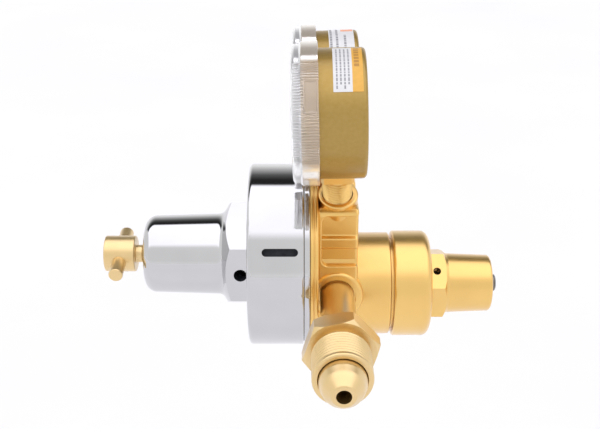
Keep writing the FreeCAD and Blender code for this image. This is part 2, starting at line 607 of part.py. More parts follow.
def gauge_cover():
    """Clear screw-on cover: a skirt round the case's rim, a step and a flat window."""
    skirt_r, seat_r = CASE_R + COVER_PLAY, CASE_R - 1.0
    inside, seat_x = COVER_FRONT + WINDOW_T, CASE_FRONT - GAP
    return turned([(COVER_EDGE, skirt_r), (COVER_EDGE, COVER_R, 0.4), (STEP_X, COVER_R, 0.3),
                   (STEP_X - 0.7, STEP_R, 0.3), (COVER_FRONT, STEP_R, 1.4), (COVER_FRONT, 0),
                   (inside, 0), (inside, seat_r, 0.8), (seat_x, seat_r), (seat_x, skirt_r)])


def gauge_dial():
    return tube(DIAL_X - DIAL_T, DIAL_X, DIAL_R, 2.0)


def gauge_pointer():
    """Pointer, hub, arbor and the pinion on the arbor, in one piece."""
    front, back = POINTER_X - 0.8, -12.6
    gear_left, gear_right, arbor_end = -4.4, -2.6, -0.6
    hub = turned([(front, 0), (front, 1.9, 0.3), (back, 1.9, 0.2), (back, ARBOR_R),
                  (gear_left, ARBOR_R), (gear_left, PINION_R), (gear_right, PINION_R),
                  (gear_right, ARBOR_R), (arbor_end, ARBOR_R), (arbor_end, 0)])
    half_tip, half_root, half_tail, tail = 0.25, 0.95, 1.3, -7.0
    right_side = [(half_tip, POINTER_LEN), (half_root, 0), (half_tail, tail)]
    left_side = [(-y, z) for y, z in reversed(right_side)]
    corners = [V(POINTER_X, y, z) for y, z in right_side + left_side + right_side[:1]]
    blade = Part.Face(Part.makePolygon(corners)).extrude(V(POINTER_T, 0, 0))
    pointer = union(hub, blade)
    pointer.rotate(V(0, 0, 0), X_AXIS, -POINTER_SWING / 2)
    return pointer


def gauge_socket(foot):
    """Brass stem: taper thread, square for the spanner, and the block that holds the tube."""
    half = BLOCK_AF / 2
    top, bottom = -CASE_R - 0.6, -CASE_R - 6.9
    square = Part.makeBox(BLOCK_AF, BLOCK_AF, top - bottom, V(-half, -half, bottom))
    corners = [e for e in square.Edges if abs(e.tangentAt(e.FirstParameter).z) > 0.9]
    square = square.makeChamfer(1.2, corners)
    neck = Part.makeBox(10.0, 10.0, 14, V(-5.0, -5.0, -CASE_R - 1))
    thread = Part.makeCone(STEM_THREAD_R - 0.5, STEM_THREAD_R, bottom - foot, V(0, 0, foot), Z_AXIS)
    bore = Part.makeCylinder(1.3, 60, V(0, 0, foot - 1), Z_AXIS)
    bore = bore.common(Part.makeBox(20, 20, 10 - CASE_R + 2 - foot, V(-10, -10, foot - 2)))
    return one_solid(union(square, neck, thread).cut(bore))


def gauge_bourdon():
    """C-shaped flattened tube, from the socket round to its free tip."""
    section = outline([(-3.6, 18.2, 1.0), (3.6, 18.2, 1.0), (3.6, 20.6, 1.0), (-3.6, 20.6, 1.0)])
    solid = Part.Face(section).revolve(V(0, 0, 0), X_AXIS, 248)
    solid.rotate(V(0, 0, 0), X_AXIS, -74)
    return solid


def gauge_movement():
    """Two plates on posts that carry the sector's and the pointer's pivots."""
    plates = []
    half, low, top = 4.2, -12.8, 3.4
    for x in (-6.4, -1.4):
        plate = Part.Face(outline([(-half, low, 1.5), (half, low, 1.5), (half, top, 1.5),
                                   (-half, top, 1.5)]))
        plate = plate.extrude(V(0, 0, 0.8))
        plate.rotate(V(0, 0, 0), V(1, 1, 1), 120)
        plate = plate.translated(V(x, 0, 0))
        plate = plate.cut([rod(x - 1, x + 2, ARBOR_R + RUN),
                           rod(x - 1, x + 2, ARBOR_R + RUN, z=SECTOR_PIVOT_Z)])
        plates.append(plate)
    posts = [rod(-6.4, -0.6, 0.8, y=side * 3.0, z=2.2) for side in (-1, 1)]
    return one_solid(union(plates[0], plates[1], *posts))


def gauge_sector():
    """Sector on its own pivot, meeting the pinion, with a tail towards the tube's tip."""
    reach = -SECTOR_PIVOT_Z - PINION_R - RUN
    def at(angle, radius):
        t = math.radians(angle)
        return V(-3.9, radius * math.sin(t), SECTOR_PIVOT_Z + radius * math.cos(t))

    low, high = -SECTOR_SWING - 3, 3
    arc = Part.Arc(at(low, reach), at((low + high) / 2, reach), at(high, reach)).toShape()
    corners = [at(high, reach), at(60, 1.6), at(-90, 1.6), at(low, reach)]
    sides = [Part.LineSegment(a, b).toShape() for a, b in zip(corners, corners[1:])]
    plate = Part.Face(Part.Wire([arc] + sides)).extrude(V(0.8, 0, 0))
    pivot = rod(-6.3, -0.7, ARBOR_R, z=SECTOR_PIVOT_Z)
    hub = rod(-4.6, -2.4, 1.7, z=SECTOR_PIVOT_Z)
    return one_solid(union(plate, pivot, hub))


def gauge_label(start):
    """Thin self-adhesive label round the case's side; start is its first edge above +Y."""
    strip = Part.Face(outline([(LABEL_LEFT, CASE_R + 0.02), (LABEL_RIGHT, CASE_R + 0.02),
                               (LABEL_RIGHT, CASE_R + 0.14), (LABEL_LEFT, CASE_R + 0.14)]))
    strip = strip.revolve(V(0, 0, 0), X_AXIS, LABEL_ARC)
    strip.rotate(V(0, 0, 0), X_AXIS, start)
    return strip


GAUGE_PIECES = {"case": gauge_case, "cover": gauge_cover, "dial": gauge_dial,
                "pointer": gauge_pointer, "bourdon_tube": gauge_bourdon,
                "movement": gauge_movement, "sector": gauge_sector}
GAUGES = [("near", -1, CENTRE_NEAR, 64), ("far", 1, CENTRE_FAR, 86)]


def make_gauges():
    for name, side, height, label_start in GAUGES:
        foot = PORT_FLOOR + STEM_END_GAP - height
        pieces = {piece: build() for piece, build in GAUGE_PIECES.items()}
        pieces["socket"] = gauge_socket(foot)
        pieces["label"] = gauge_label(label_start)
        for piece, shape in pieces.items():
            export("%s_gauge_%s" % (name, piece), place_gauge(shape, side, height))


# ---------------------------------------------------------------- the whole part
PIECES = {
    "body": make_body,
    "bonnet": make_bonnet,
    "bonnet_ring": make_bonnet_ring,
    "adjusting_screw": make_adjusting_screw,
    "t_bar": make_t_bar,
    "spring_button": make_spring_button,
    "range_spring": make_range_spring,
    "diaphragm_plate": make_diaphragm_plate,
    "diaphragm": make_diaphragm,
    "slip_ring": make_slip_ring,
    "seat_nozzle": make_nozzle,
    "valve_poppet": make_poppet,
    "poppet_spring": make_poppet_spring,
    "first_stage_cap": make_first_cap,
    "preset_screw": make_preset_screw,
    "first_stage_button": make_first_button,
    "first_stage_spring": make_first_spring,
    "first_stage_plate": make_first_plate,
    "first_stage_diaphragm": make_first_diaphragm,
    "first_stage_slip_ring": make_first_slip_ring,
    "first_stage_nozzle": make_first_nozzle,
    "first_stage_poppet": make_first_poppet,
    "first_stage_poppet_spring": make_first_poppet_spring,
    "inlet_nipple": make_nipple,
    "inlet_filter": make_inlet_filter,
    "inlet_nut": make_inlet_nut,
    "outlet_fitting": make_outlet_fitting,
}

for piece_name, make_piece in PIECES.items():
    export(piece_name, make_piece())
make_gauges()
print("pieces:", len(PIECES) + len(GAUGES) * (len(GAUGE_PIECES) + 2))
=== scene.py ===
"""Looks of the two-stage gas regulator: camera, studio light, materials and detailed pieces.

Blender works in metres. Sizes named without a unit are in mm, and MM turns them into metres.
"""
import bpy
import bmesh
import json
import math
from mathutils import Vector, Matrix


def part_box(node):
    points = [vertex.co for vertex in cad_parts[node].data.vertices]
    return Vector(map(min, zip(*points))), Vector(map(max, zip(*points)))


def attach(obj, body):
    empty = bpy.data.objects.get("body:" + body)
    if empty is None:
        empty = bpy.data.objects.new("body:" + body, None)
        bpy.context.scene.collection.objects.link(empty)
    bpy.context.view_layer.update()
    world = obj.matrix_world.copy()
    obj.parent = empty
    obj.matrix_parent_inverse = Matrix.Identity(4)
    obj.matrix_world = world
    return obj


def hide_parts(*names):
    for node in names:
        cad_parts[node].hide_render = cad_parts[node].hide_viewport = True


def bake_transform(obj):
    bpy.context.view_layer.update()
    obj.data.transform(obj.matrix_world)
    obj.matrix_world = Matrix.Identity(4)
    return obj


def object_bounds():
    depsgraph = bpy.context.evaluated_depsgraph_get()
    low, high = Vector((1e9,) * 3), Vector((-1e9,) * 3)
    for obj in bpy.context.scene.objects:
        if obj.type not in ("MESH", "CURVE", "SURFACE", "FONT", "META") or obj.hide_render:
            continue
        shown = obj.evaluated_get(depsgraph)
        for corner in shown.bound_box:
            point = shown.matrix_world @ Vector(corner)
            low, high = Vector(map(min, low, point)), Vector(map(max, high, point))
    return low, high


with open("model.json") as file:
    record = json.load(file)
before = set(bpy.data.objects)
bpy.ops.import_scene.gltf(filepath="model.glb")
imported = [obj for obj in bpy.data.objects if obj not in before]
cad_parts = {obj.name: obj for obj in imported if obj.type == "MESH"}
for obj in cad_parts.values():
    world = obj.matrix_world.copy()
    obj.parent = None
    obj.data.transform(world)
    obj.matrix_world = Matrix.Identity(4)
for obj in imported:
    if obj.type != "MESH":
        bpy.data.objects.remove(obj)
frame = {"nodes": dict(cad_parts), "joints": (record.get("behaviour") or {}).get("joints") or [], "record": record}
CAD_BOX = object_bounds()
NODES = frame["nodes"]
JOINTS = {joint["name"]: joint for joint in frame["joints"]}
MM = 0.001
UP = (0, 0, 1)


# ------------------------------------------------------------ places taken from the frame
def middle(node):
    low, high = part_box(node)
    return (low + high) / 2


MAIN_AXIS = middle("bonnet_ring")          # a point on the second-stage axis
PORT_X = middle("inlet_nut").x             # plane through the ports


# ------------------------------------------------------------ camera
LENS, SENSOR = 60.0, 36.0
CLIP = (0.01, 20)                          # nearest and farthest that the camera sees, m
ELEVATION = 24.0                           # degrees above the horizon
DISTANCE = 0.457                           # camera to the second-stage axis, along the view, m
VIEW_X = PORT_X - 16.3 * MM                # plane that the camera looks along
DROP = 17.8 * MM                           # axis below the middle of the view


def make_camera():
    data = bpy.data.cameras.new("camera")
    data.lens = LENS
    data.sensor_width = SENSOR
    data.clip_start, data.clip_end = CLIP
    camera = bpy.data.objects.new("camera", data)
    bpy.context.scene.collection.objects.link(camera)
    tilt = math.radians(ELEVATION)
    forward = Vector((0, math.cos(tilt), -math.sin(tilt)))
    up = Vector((0, math.sin(tilt), math.cos(tilt)))
    aim = Vector((VIEW_X, MAIN_AXIS.y, MAIN_AXIS.z))
    camera.location = aim - forward * DISTANCE + up * DROP
    camera.rotation_euler = (math.pi / 2 - tilt, 0, 0)
    bpy.context.scene.camera = camera


# ------------------------------------------------------------ node helpers
NOISE_LOW, NOISE_HIGH = 0.3, 0.7           # nearly all of a noise signal lies between these


def new_material(name, settings):
    """Material, its node tree and its shader, with plain settings by socket name."""
    material = bpy.data.materials.new(name)
    material.use_nodes = True
    tree = material.node_tree
    shader = tree.nodes["Principled BSDF"]
    for socket, value in settings.items():
        shader.inputs[socket].default_value = value
    return material, tree, shader


def noise(tree, scale, detail=3.0, roughness=0.5):
    """Noise signal in object coordinates, with about this many patches to the metre."""
    coords = tree.nodes.new("ShaderNodeTexCoord")
    texture = tree.nodes.new("ShaderNodeTexNoise")
    texture.inputs["Scale"].default_value = scale
    texture.inputs["Detail"].default_value = detail
    texture.inputs["Roughness"].default_value = roughness
    tree.links.new(coords.outputs["Object"], texture.inputs["Vector"])
    return texture.outputs["Fac"]


def ramp(tree, source, stops):
    """Colour that a 0-1 signal reads off a row of (position, colour) stops."""
    node = tree.nodes.new("ShaderNodeValToRGB")
    elements = node.color_ramp.elements
    while len(elements) < len(stops):
        elements.new(0.5)
    for element, (position, colour) in zip(elements, stops):
        element.position = position
        element.color = (*colour, 1)
    tree.links.new(source, node.inputs["Fac"])
    return node.outputs["Color"]


def remap(tree, source, from_low, from_high, to_low=0.0, to_high=1.0):
    """Signal stretched from one range to another and held at its ends."""
    node = tree.nodes.new("ShaderNodeMapRange")
    node.inputs["From Min"].default_value = from_low
    node.inputs["From Max"].default_value = from_high
    node.inputs["To Min"].default_value = to_low
    node.inputs["To Max"].default_value = to_high
    tree.links.new(source, node.inputs["Value"])
    return node.outputs["Result"]


def calculate(tree, operation, *sources):
    """Result of a math node fed with signals and plain numbers."""
    node = tree.nodes.new("ShaderNodeMath")
    node.operation = operation
    for k, source in enumerate(sources):
        if isinstance(source, (int, float)):
            node.inputs[k].default_value = source
        else:
            tree.links.new(source, node.inputs[k])
    return node.outputs[0]


def tint(tree, shader, source, dark, light):
    """Base colour that wanders between two shades with a noise signal."""
    colour = ramp(tree, source, [(NOISE_LOW, dark), (NOISE_HIGH, light)])
    tree.links.new(colour, shader.inputs["Base Color"])


def polish(tree, shader, source, smoothest, roughest):
    """Roughness that wanders between two values with a noise signal."""
    roughness = remap(tree, source, NOISE_LOW, NOISE_HIGH, smoothest, roughest)
    tree.links.new(roughness, shader.inputs["Roughness"])


def relief(tree, shader, source, strength, height):
    """Fine bumps that follow a noise signal; height in metres."""
    node = tree.nodes.new("ShaderNodeBump")
    node.inputs["Strength"].default_value = strength
    node.inputs["Distance"].default_value = height
    tree.links.new(source, node.inputs["Height"])
    tree.links.new(node.outputs["Normal"], shader.inputs["Normal"])


# ------------------------------------------------------------ bare metals
METAL_FILM = {"Metallic": 1.0, "Coat Weight": 0.9, "Coat IOR": 2.1, "Coat Roughness": 0.28}
TARNISH_PATCHES = 45                       # to the metre
METAL_POLISH = 0.03                        # roughness either side of a metal's own
GRAIN_STRENGTH = 0.25

METALS = {                                 # dark and light shade, roughness, grains to the metre, depth
    "pale_brass": ((0.75, 0.52, 0.19), (0.80, 0.57, 0.23), 0.38, 500, 0.003),
    "forged_brass": ((0.83, 0.485, 0.076), (0.88, 0.53, 0.092), 0.33, 400, 0.003),
    "turned_brass": ((0.82, 0.49, 0.084), (0.87, 0.535, 0.102), 0.32, 400, 0.002),
    "sintered_bronze": ((0.45, 0.30, 0.14), (0.60, 0.42, 0.22), 0.5, 1500, 0.1),
    "black_steel": ((0.06, 0.06, 0.065), (0.10, 0.10, 0.11), 0.3, 900, 0.003),
}


def bare_metal(name, dark, light, roughness, grains, grain_depth):
    """Tarnish mottling, tool or casting grain and uneven polish under a thin dull film."""
    material, tree, shader = new_material(name, METAL_FILM)
    tint(tree, shader, noise(tree, TARNISH_PATCHES), dark, light)
    grain = noise(tree, grains, roughness=0.6)
    polish(tree, shader, grain, roughness - METAL_POLISH, roughness + METAL_POLISH)
    relief(tree, shader, grain, GRAIN_STRENGTH, grain_depth * MM)
    return material


def chrome(name):
    """Bright plating with a faint haze."""
    material, tree, shader = new_material(name, {"Metallic": 1.0})
    haze = noise(tree, 40)
    tint(tree, shader, haze, (0.59, 0.59, 0.60), (0.63, 0.63, 0.64))
    polish(tree, shader, haze, 0.05, 0.09)
    return material


def ground_steel(name):
    """Steel with a fine, uneven grain."""
    material, tree, shader = new_material(name, {"Metallic": 1.0})
    grain = noise(tree, 900, detail=2)
    tint(tree, shader, grain, (0.42, 0.42, 0.43), (0.60, 0.60, 0.60))
    polish(tree, shader, grain, 0.25, 0.38)
    return material


# ------------------------------------------------------------ paint, plastic, print and painted shade
PAINT_LACQUER = {"Metallic": 0.8, "Coat Weight": 0.35, "Coat Roughness": 0.12}


def metallic_paint(name):
    """Gold paint with fine flake under a lacquer."""
    material, tree, shader = new_material(name, PAINT_LACQUER)
    flake = noise(tree, 700)
    tint(tree, shader, flake, (0.40, 0.26, 0.062), (0.44, 0.29, 0.08))
    polish(tree, shader, flake, 0.40, 0.46)
    return material


PLASTIC_IOR = 1.32
PLASTIC_SCUFF = 0.03                       # roughness that its finest scuffs add

CLEAR_PLASTICS = {                         # how clear, dark and light shade, roughness
    "clear_cover": (0.6, (0.78, 0.68, 0.56), (0.82, 0.72, 0.60), 0.08),
    "clear_front": (0.6, (0.78, 0.78, 0.79), (0.83, 0.83, 0.84), 0.08),
    "clear_window": (1.0, (0.96, 0.96, 0.97), (0.98, 0.98, 0.98), 0.01),
}


def clear_plastic(name, clearness, dark, light, roughness):
    """Moulded plastic with faint clouding and fine scuffs."""
    material, tree, shader = new_material(name, {"Transmission Weight": clearness, "IOR": PLASTIC_IOR})
    tint(tree, shader, noise(tree, 50), dark, light)
    polish(tree, shader, noise(tree, 200), roughness, roughness + PLASTIC_SCUFF)
    return material


PRINT_POLISH = 0.05                        # roughness either side of a paint's or print's own
FINER_GLOSS = 200                          # its gloss has this many more specks to the metre

PRINTS = {                                 # dark and light shade, roughness, specks to the metre
    "dial_white": ((0.84, 0.84, 0.82), (0.90, 0.90, 0.88), 0.5, 300),
    "pointer_black": ((0.015, 0.015, 0.015), (0.03, 0.03, 0.03), 0.4, 300),
    "label_film": ((0.70, 0.70, 0.71), (0.75, 0.75, 0.76), 0.35, 300),
    "label_orange": ((0.72, 0.39, 0.06), (0.78, 0.43, 0.075), 0.4, 400),
    "label_ink": ((0.25, 0.25, 0.27), (0.33, 0.33, 0.35), 0.5, 400),
    "label_red": ((0.85, 0.33, 0.18), (0.90, 0.38, 0.22), 0.4, 400),
    "label_brown": ((0.45, 0.22, 0.04), (0.50, 0.25, 0.05), 0.4, 400),
    "dial_ink": ((0.015, 0.015, 0.015), (0.03, 0.03, 0.03), 0.5, 400),
    # painted shade: near-black on the bonnet's spanner-slot and vent faces, standing in for the shadow in those
    # holes
    "painted_shade_dark": ((0.012, 0.014, 0.02), (0.03, 0.033, 0.045), 0.6, 400),
}


def speckled(name, dark, light, roughness, specks):
    """Film, ink and dull paint, and the painted shade in the bonnet's slots and vents, with faint specks in its
    colour and finer ones in its gloss.
    """
    material, tree, shader = new_material(name, {})
    tint(tree, shader, noise(tree, specks), dark, light)
    gloss = noise(tree, specks + FINER_GLOSS)
    polish(tree, shader, gloss, roughness - PRINT_POLISH, roughness + PRINT_POLISH)
    return material


def make_materials():
    """Every finish by its name, the record's material slots among them."""
    finishes = {
        "knob_chrome": chrome("knob_chrome"),
        "plain_steel": ground_steel("plain_steel"),
        "case_paint": metallic_paint("case_paint"),
    }
    finishes["spring_steel"] = finishes["plain_steel"]
    for family, recipe in ((METALS, bare_metal), (CLEAR_PLASTICS, clear_plastic), (PRINTS, speckled)):
        for name, values in family.items():
            finishes[name] = recipe(name, *values)
    return finishes


def dress_cad_nodes():
    for entry in frame["record"]["subparts"]:
        finishes = NODES[entry["node"]].data.materials
        finishes.clear()
        finishes.append(MATERIALS[entry["material_slot"]])


# ------------------------------------------------------------ floor and light
FLOOR_HALF = 6.0                           # half the floor's width, m
FLOOR_GAP = 0.30                           # floor below the object's lowest point, m


def make_floor():
    """Pale paper, far enough below the object to catch no hard shadow."""
    mesh = bpy.data.meshes.new("floor")
    grid = bmesh.new()
    bmesh.ops.create_grid(grid, x_segments=8, y_segments=8, size=FLOOR_HALF)
    grid.to_mesh(mesh)
    grid.free()
    floor = bpy.data.objects.new("floor", mesh)
    bpy.context.scene.collection.objects.link(floor)
    floor.location = (0, 0, CAD_BOX[0][2] - FLOOR_GAP)
    paper, tree, shader = new_material("floor_paper", {"Roughness": 0.9})
    tint(tree, shader, noise(tree, 3), (0.86, 0.86, 0.86), (0.89, 0.89, 0.89))
    mesh.materials.append(paper)


# Studio round the object, by the angle from the horizon behind it (0), over the top (90),
# to the horizon in front (180), with the floor's half below 0: a white sweep behind, a dark
# gap, one large overhead softbox, and a paler wall behind the camera.
STUDIO = [(-180, 1.0), (-1, 1.0), (8, 0.95), (22, 0.55), (36, 0.14), (47, 0.03), (57, 0.02), (61, 1.7),
          (127, 1.6), (137, 0.95), (150, 0.92), (178, 0.92), (180, 1.0)]
SOFTBOX_TINT = (1.0, 0.99, 1.04)           # for levels above 1, which only the softbox has
SOFTBOX_SIDE = 1.15                        # half-width of the softbox over its height
SOFTBOX_EDGE = 0.12                        # how far its ends fade, in the same measure
SIDE_LEVEL = 0.95                          # walls to the left and right


def studio_colour(level, brightest):
    """Colour of one part of the studio, as a share of its brightest level."""
    hue = SOFTBOX_TINT if level > 1 else (1, 1, 1)
    return tuple(level / brightest * channel for channel in hue)


def make_world():
    world = bpy.data.worlds.new("studio")
    world.use_nodes = True
    tree = world.node_tree
    coords = tree.nodes.new("ShaderNodeTexCoord")
    split = tree.nodes.new("ShaderNodeSeparateXYZ")
    tree.links.new(coords.outputs["Generated"], split.inputs[0])
    x, y, z = split.outputs
    brightest = max(level for _, level in STUDIO)
    angle = calculate(tree, "ARCTAN2", z, y)
    place = calculate(tree, "MULTIPLY_ADD", angle, 0.5 / math.pi, 0.5)
    stops = [((degrees + 180) / 360, studio_colour(level, brightest)) for degrees, level in STUDIO]
    over_the_top = ramp(tree, place, stops)
    y_squared = calculate(tree, "MULTIPLY", y, y)
    z_squared = calculate(tree, "MULTIPLY", z, z)
    height = calculate(tree, "SQRT", calculate(tree, "ADD", y_squared, z_squared))
    sideways = calculate(tree, "DIVIDE", calculate(tree, "ABSOLUTE", x), height)
    mix = tree.nodes.new("ShaderNodeMix")
    mix.data_type = "RGBA"
    colour_a, colour_b, mixed = mix.inputs[6], mix.inputs[7], mix.outputs[2]
    beyond = remap(tree, sideways, SOFTBOX_SIDE, SOFTBOX_SIDE + SOFTBOX_EDGE)
    tree.links.new(beyond, mix.inputs["Factor"])
    tree.links.new(over_the_top, colour_a)
    colour_b.default_value = (SIDE_LEVEL / brightest,) * 3 + (1,)
    background = tree.nodes["Background"]
    tree.links.new(mixed, background.inputs["Color"])
    background.inputs["Strength"].default_value = brightest
    bpy.context.scene.world = world


# ------------------------------------------------------------ mesh helpers
def add_piece(name, mesh, body, replaces, materials, sharp):
    """Mesh in the row frame as a shown piece that stands for CAD nodes.

    It rides on the body, or on none where no body is given. Edges that turn more than sharp degrees stay crisp."""
    piece = bpy.data.objects.new(name, mesh)
    bpy.context.scene.collection.objects.link(piece)
    for material in materials:
        mesh.materials.append(MATERIALS[material])
    mesh.polygons.foreach_set("use_smooth", [True] * len(mesh.polygons))
    mesh.set_sharp_from_angle(angle=math.radians(sharp))
    if body:
        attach(piece, body)
    if replaces:
        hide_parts(*replaces)
    return piece


def copy_of(node):
    """A CAD node's mesh without its finish, for a piece that replaces the node."""
    mesh = NODES[node].data.copy()
    mesh.materials.clear()
    return mesh


def mesh_from(name, points, faces, finishes):
    """New mesh; finishes holds the index of each face's material."""
    mesh = bpy.data.meshes.new(name)
    mesh.from_pydata(points, [], faces)
    mesh.polygons.foreach_set("material_index", finishes)
    mesh.validate()
    mesh.update()
    return mesh


def merged(parts):
    """Several (points, faces, material index) groups as the lists of one mesh."""
    points, faces, finishes = [], [], []
    for part_points, part_faces, index in parts:
        base = len(points)
        points += part_points
        faces += [tuple(base + corner for corner in face) for face in part_faces]
        finishes += [index] * len(part_faces)
    return points, faces, finishes


def frame_of(origin, along, up):
    """Matrix whose X runs along, and whose Z is as near up as it can be."""
    x_axis = Vector(along).normalized()
    z_axis = Vector(up)
    z_axis = (z_axis - z_axis.dot(x_axis) * x_axis).normalized()
    y_axis = z_axis.cross(x_axis)
    matrix = Matrix((x_axis, y_axis, z_axis)).transposed().to_4x4()
    matrix.translation = origin
    return matrix


def axis_place(node, along):
    """Frame on a node's axis, with its origin at the end of the box that along leads away from."""
    low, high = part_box(node)
    origin = (low + high) / 2
    k = max(range(3), key=lambda i: abs(along[i]))
    origin[k] = low[k] if along[k] > 0 else high[k]
    return frame_of(origin, along, UP)


def triangle_wave(phase):
    """Falls from 1 to 0 and rises to 1 again over each whole phase."""
    return abs(2 * (phase % 1) - 1)


def flat_topped(wave, gain, cut):
    """Wave made steeper and cut off flat at 0 and 1."""
    return min(1, max(0, gain * wave - cut))


# ------------------------------------------------------------ screw threads
PLAIN_SLACK = 0.12                         # plain faces this near the named cylinder or cone are cut out
ROWS_PER_TURN = 8
RUN_OUT = 0.6                              # part of a pitch over which each end fades
GROOVE_GAIN, GROOVE_CUT = 1.35, 0.17       # flats on the crests and in the roots


def cut_plain_faces(shape, place, span, radii):
    """Deletes the faces on the plain cylinder or cone between the span's two ends, in metres."""
    inverse = place.inverted()
    (start, end), (start_radius, end_radius) = span, radii
    slack = PLAIN_SLACK * MM
    low, high = min(span) - slack, max(span) + slack

    def is_plain(vertex):
        point = inverse @ vertex.co
        radius = math.hypot(point.y, point.z)
        surface = start_radius + (end_radius - start_radius) * (point.x - start) / (end - start)
        return low < point.x < high and abs(radius - surface) < slack

    plain = [face for face in shape.faces if all(is_plain(vertex) for vertex in face.verts)]
    bmesh.ops.delete(shape, geom=plain, context="FACES")


def add_thread_faces(shape, place, span, radii, pitch, depth, steps):
    """Adds the threaded surface between the span's two ends, in metres."""
    (start, end), (start_radius, end_radius) = span, radii
    length = abs(end - start)
    rows = max(ROWS_PER_TURN, int(length / pitch * ROWS_PER_TURN))
    rings = []
    for row in range(rows + 1):
        share = row / rows
        x = start + (end - start) * share
        surface = start_radius + (end_radius - start_radius) * share
        fade = min(1, share * length / (RUN_OUT * pitch), (1 - share) * length / (RUN_OUT * pitch))
        ring = []
        for k in range(steps):
            turn = 2 * math.pi * k / steps
            groove = flat_topped(1 - triangle_wave(x / pitch - k / steps), GROOVE_GAIN, GROOVE_CUT)
            radius = surface - depth * groove * fade
            point = Vector((x, radius * math.sin(turn), radius * math.cos(turn)))
            ring.append(shape.verts.new(place @ point))
        rings.append(ring)
    for ring, following in zip(rings, rings[1:]):
        for k in range(steps):
            after = (k + 1) % steps
            shape.faces.new((ring[k], following[k], following[after], ring[after]))


def threaded(name, node, body, finish, place, span, radii, pitch, depth, steps=72):
    """Copy of a CAD node whose plain cylinder or cone is cut as a screw thread.

    The span's two ends lie on the place's X axis, with a radius for each. Grooves reach in
    towards the axis by the depth."""
    mesh = copy_of(node)
    span = [end * MM for end in span]
    radii = [radius * MM for radius in radii]
    shape = bmesh.new()
    shape.from_mesh(mesh)
    cut_plain_faces(shape, place, span, radii)
    add_thread_faces(shape, place, span, radii, pitch * MM, depth * MM, steps)
    bmesh.ops.recalc_face_normals(shape, faces=shape.faces)
    shape.to_mesh(mesh)
    shape.free()
    add_piece(name, mesh, body, (node,), (finish,), 40)


def make_threads():
    threaded("inlet_nut_thread", "inlet_nut", "inlet_nut", "pale_brass",
             axis_place("inlet_nut", (0, 1, 0)), span=(1.0, 16.4), radii=(12.0, 12.0),
             pitch=1.814, depth=0.75, steps=120)
    threaded("outlet_thread", "outlet_fitting", "regulator", "pale_brass",
             axis_place("outlet_fitting", (0, -1, 0)), span=(0.8, 11.8), radii=(7.1, 7.1),
             pitch=1.337, depth=0.6)
    threaded("adjusting_screw_thread", "adjusting_screw", "adjusting_screw", "pale_brass",
             axis_place("adjusting_screw", (1, 0, 0)), span=(17.2, 31.5), radii=(4.75, 4.75),
             pitch=1.058, depth=0.5)
    threaded("preset_screw_thread", "preset_screw", "preset_screw", "black_steel",
             axis_place("preset_screw", (1, 0, 0)), span=(1.2, 14.2), radii=(3.95, 3.95),
             pitch=1.058, depth=0.45)


# ------------------------------------------------------------ chrome bonnet
SKIRT_R = 41.0
SLOT_ANGLE, SLOT_STEP = 26.6, 120.0        # first spanner slot above the inlet side, and the next, degrees
SLOT_DEPTH, SLOT_HALF = 3.4, 1.65
SLOT_SPAN = (-17.6, -2.4)                  # along the axis from the skirt's open end
SLOT_SLACK = 0.1
VENT_BACK, VENT_R = 27.7, 2.9              # vent axis behind the skirt's open end
VENT_SPAN = (13, 22)                       # the vents' walls lie between these distances from the axis
VENT_SLACK = 0.02
# finish indices: chrome, and painted shade, near-black, in the spanner slots and vents
CHROME, PAINTED_SHADE = 0, 1


def in_spanner_slot(point, radius):
    """Whether a point, from the middle of the skirt's open end, is on a slot's floor or walls."""
    angle = math.degrees(math.atan2(point.z, -point.y))
    from_slot = (angle - SLOT_ANGLE + SLOT_STEP / 2) % SLOT_STEP - SLOT_STEP / 2
    off_centre = abs(math.radians(from_slot) * radius)
    along = SLOT_SPAN[0] - SLOT_SLACK < point.x < SLOT_SPAN[1] + SLOT_SLACK
    across = off_centre < SLOT_HALF + SLOT_SLACK
    inward = SKIRT_R - SLOT_DEPTH - SLOT_SLACK < radius < SKIRT_R - SLOT_SLACK
    return along and across and inward


def in_vent(point, radius):
    """Whether a point, from the middle of the skirt's open end, is on a vent's wall."""
    in_hole = math.hypot(point.x + VENT_BACK, point.z) < VENT_R + VENT_SLACK
    return in_hole and VENT_SPAN[0] < radius < VENT_SPAN[1]


def make_bonnet():
    """Bonnet with painted shade, a dull dark finish, inside its spanner slots and vents."""
    mesh = copy_of("bonnet")
    skirt_end = Vector((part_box("bonnet")[1].x, MAIN_AXIS.y, MAIN_AXIS.z))
    finishes = []
    for face in mesh.polygons:
        point = (face.center - skirt_end) / MM
        radius = math.hypot(point.y, point.z)
        # faces in the slots and vents get the painted shade
        in_painted_shade = in_spanner_slot(point, radius) or in_vent(point, radius)
        finishes.append(PAINTED_SHADE if in_painted_shade else CHROME)
    mesh.polygons.foreach_set("material_index", finishes)
    add_piece("bonnet_chrome", mesh, "regulator", ("bonnet",), ("knob_chrome", "painted_shade_dark"), 30)


# ------------------------------------------------------------ gauge frame
def gauge_place(side):
    """Gauge frame: X along its arbor away from the dial, Z up its stem."""
    arbor, pivot = JOINTS[side + "_pointer_turn"], JOINTS[side + "_sector_turn"]
    centre = Vector(arbor["pos_m"])
    return frame_of(centre, arbor["axis"], centre - Vector(pivot["pos_m"]))


